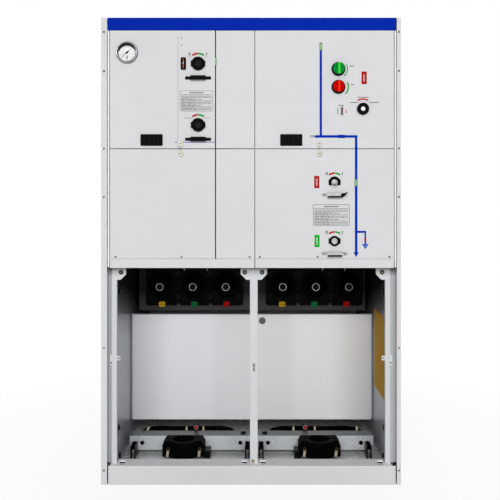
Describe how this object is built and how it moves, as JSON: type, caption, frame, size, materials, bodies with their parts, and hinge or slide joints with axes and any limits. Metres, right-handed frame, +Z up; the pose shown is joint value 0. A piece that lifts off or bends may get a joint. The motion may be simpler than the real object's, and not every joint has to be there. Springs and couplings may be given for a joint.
{
  "type": "ring main unit",
  "caption": "Floor-standing medium-voltage switchgear cabinet in two units, with lever sockets, knobs and a gauge above open cable compartments with bushings and cable clamps.",
  "frame": {"origin": "middle of the footprint on the floor, knobs included", "axes": "+Z up, front facing -Y, +X to the right as seen from the front"},
  "size_m": [0.858, 0.874, 1.336],
  "materials": {
    "cabinet_paint": "light grey powder coat, satin, fine orange peel",
    "fascia_blue": "deep blue printed band, satin",
    "inner_paint": "light grey paint inside the cabinet, satin",
    "galvanised": "galvanised sheet with faint spangle, bluish grey",
    "tinned_bar": "tinned flat bar, pale and dull",
    "cast_resin": "black cast resin, satin",
    "moulded_black": "black moulding, fine grain",
    "contact_brass": "dull plated brass",
    "tag_yellow": "yellow plastic",
    "tag_green": "green plastic",
    "tag_red": "red plastic",
    "bright_steel": "plated bright steel",
    "dark_steel": "blackened steel",
    "dial_white": "white dial",
    "gauge_glass": "clear flat glass",
    "ivory_plastic": "ivory plastic",
    "knob_green": "green plastic",
    "knob_red": "red plastic"
  },
  "bodies": {
    "cabinet": {"left_side_panel": "cabinet_paint", "right_side_panel": "cabinet_paint", "rear_panel": "cabinet_paint", "roof_panel": "cabinet_paint", "plinth_front": "cabinet_paint", "left_post": "cabinet_paint", "centre_post": "cabinet_paint", "right_post": "cabinet_paint", "left_upper_panel": "cabinet_paint", "left_lower_panel": "cabinet_paint", "left_fillers": "cabinet_paint", "right_upper_panel": "cabinet_paint", "right_lower_panel": "cabinet_paint", "panel_sills": "cabinet_paint", "left_operating_plate": "cabinet_paint", "top_fascia": "fascia_blue", "gas_tank": "inner_paint", "rear_covers": "inner_paint", "floor_plate": "galvanised", "left_inner_wall": "galvanised", "right_inner_wall": "galvanised", "compartment_ceiling": "galvanised", "drive_units": "galvanised", "cable_rail": "galvanised", "rail_stands": "galvanised", "earth_bar": "tinned_bar", "left_bushing_block": "cast_resin", "right_bushing_block": "cast_resin", "current_transformers": "cast_resin", "left_cable_clamp": "moulded_black", "right_cable_clamp": "moulded_black", "left_lever_guides": "moulded_black", "right_lever_guides": "moulded_black", "knob_rings": "moulded_black", "voltage_indicators": "moulded_black", "position_windows": "moulded_black", "left_padlock_straps": "moulded_black", "bushing_contacts": "contact_brass", "yellow_phase_tags": "tag_yellow", "green_phase_tags": "tag_green", "red_phase_tags": "tag_red", "gauge_case": "bright_steel", "right_padlock_straps": "bright_steel", "gauge_dial": "dial_white", "gauge_glass": "gauge_glass", "seal_posts": "ivory_plastic"},
    "close_knob": {"close_knob": "knob_green"},
    "open_knob": {"open_knob": "knob_red"},
    "left_switch_shaft": {"left_switch_shaft": "dark_steel"},
    "left_earth_shaft": {"left_earth_shaft": "dark_steel"},
    "right_switch_shaft": {"right_switch_shaft": "bright_steel"},
    "right_earth_shaft": {"right_earth_shaft": "bright_steel"},
    "charging_shaft": {"charging_shaft": "bright_steel"}
  },
  "joints": [
    {"name": "close_knob_turn", "type": "hinge", "parent": "cabinet", "child": "close_knob", "pos_m": [0.25, -0.413, 1.189], "axis": [0, 1, 0], "range_deg": [0, 45], "stiffness_Nm_per_rad": 0.5},
    {"name": "open_knob_turn", "type": "hinge", "parent": "cabinet", "child": "open_knob", "pos_m": [0.25, -0.413, 1.138], "axis": [0, 1, 0], "range_deg": [0, 45], "stiffness_Nm_per_rad": 0.5},
    {"name": "left_switch_shaft_turn", "type": "hinge", "parent": "cabinet", "child": "left_switch_shaft", "pos_m": [-0.151, -0.413, 1.204], "axis": [0, 1, 0], "range_deg": [0, 90]},
    {"name": "left_earth_shaft_turn", "type": "hinge", "parent": "cabinet", "child": "left_earth_shaft", "pos_m": [-0.151, -0.413, 1.029], "axis": [0, 1, 0], "range_deg": [0, 90]},
    {"name": "right_switch_shaft_turn", "type": "hinge", "parent": "cabinet", "child": "right_switch_shaft", "pos_m": [0.239, -0.413, 0.865], "axis": [0, 1, 0], "range_deg": [0, 90]},
    {"name": "right_earth_shaft_turn", "type": "hinge", "parent": "cabinet", "child": "right_earth_shaft", "pos_m": [0.239, -0.413, 0.697], "axis": [0, 1, 0], "range_deg": [0, 90]},
    {"name": "charging_shaft_turn", "type": "hinge", "parent": "cabinet", "child": "charging_shaft", "pos_m": [0.32, -0.413, 1.075], "axis": [0, 1, 0], "range_deg": [0, 90]}
  ]
}
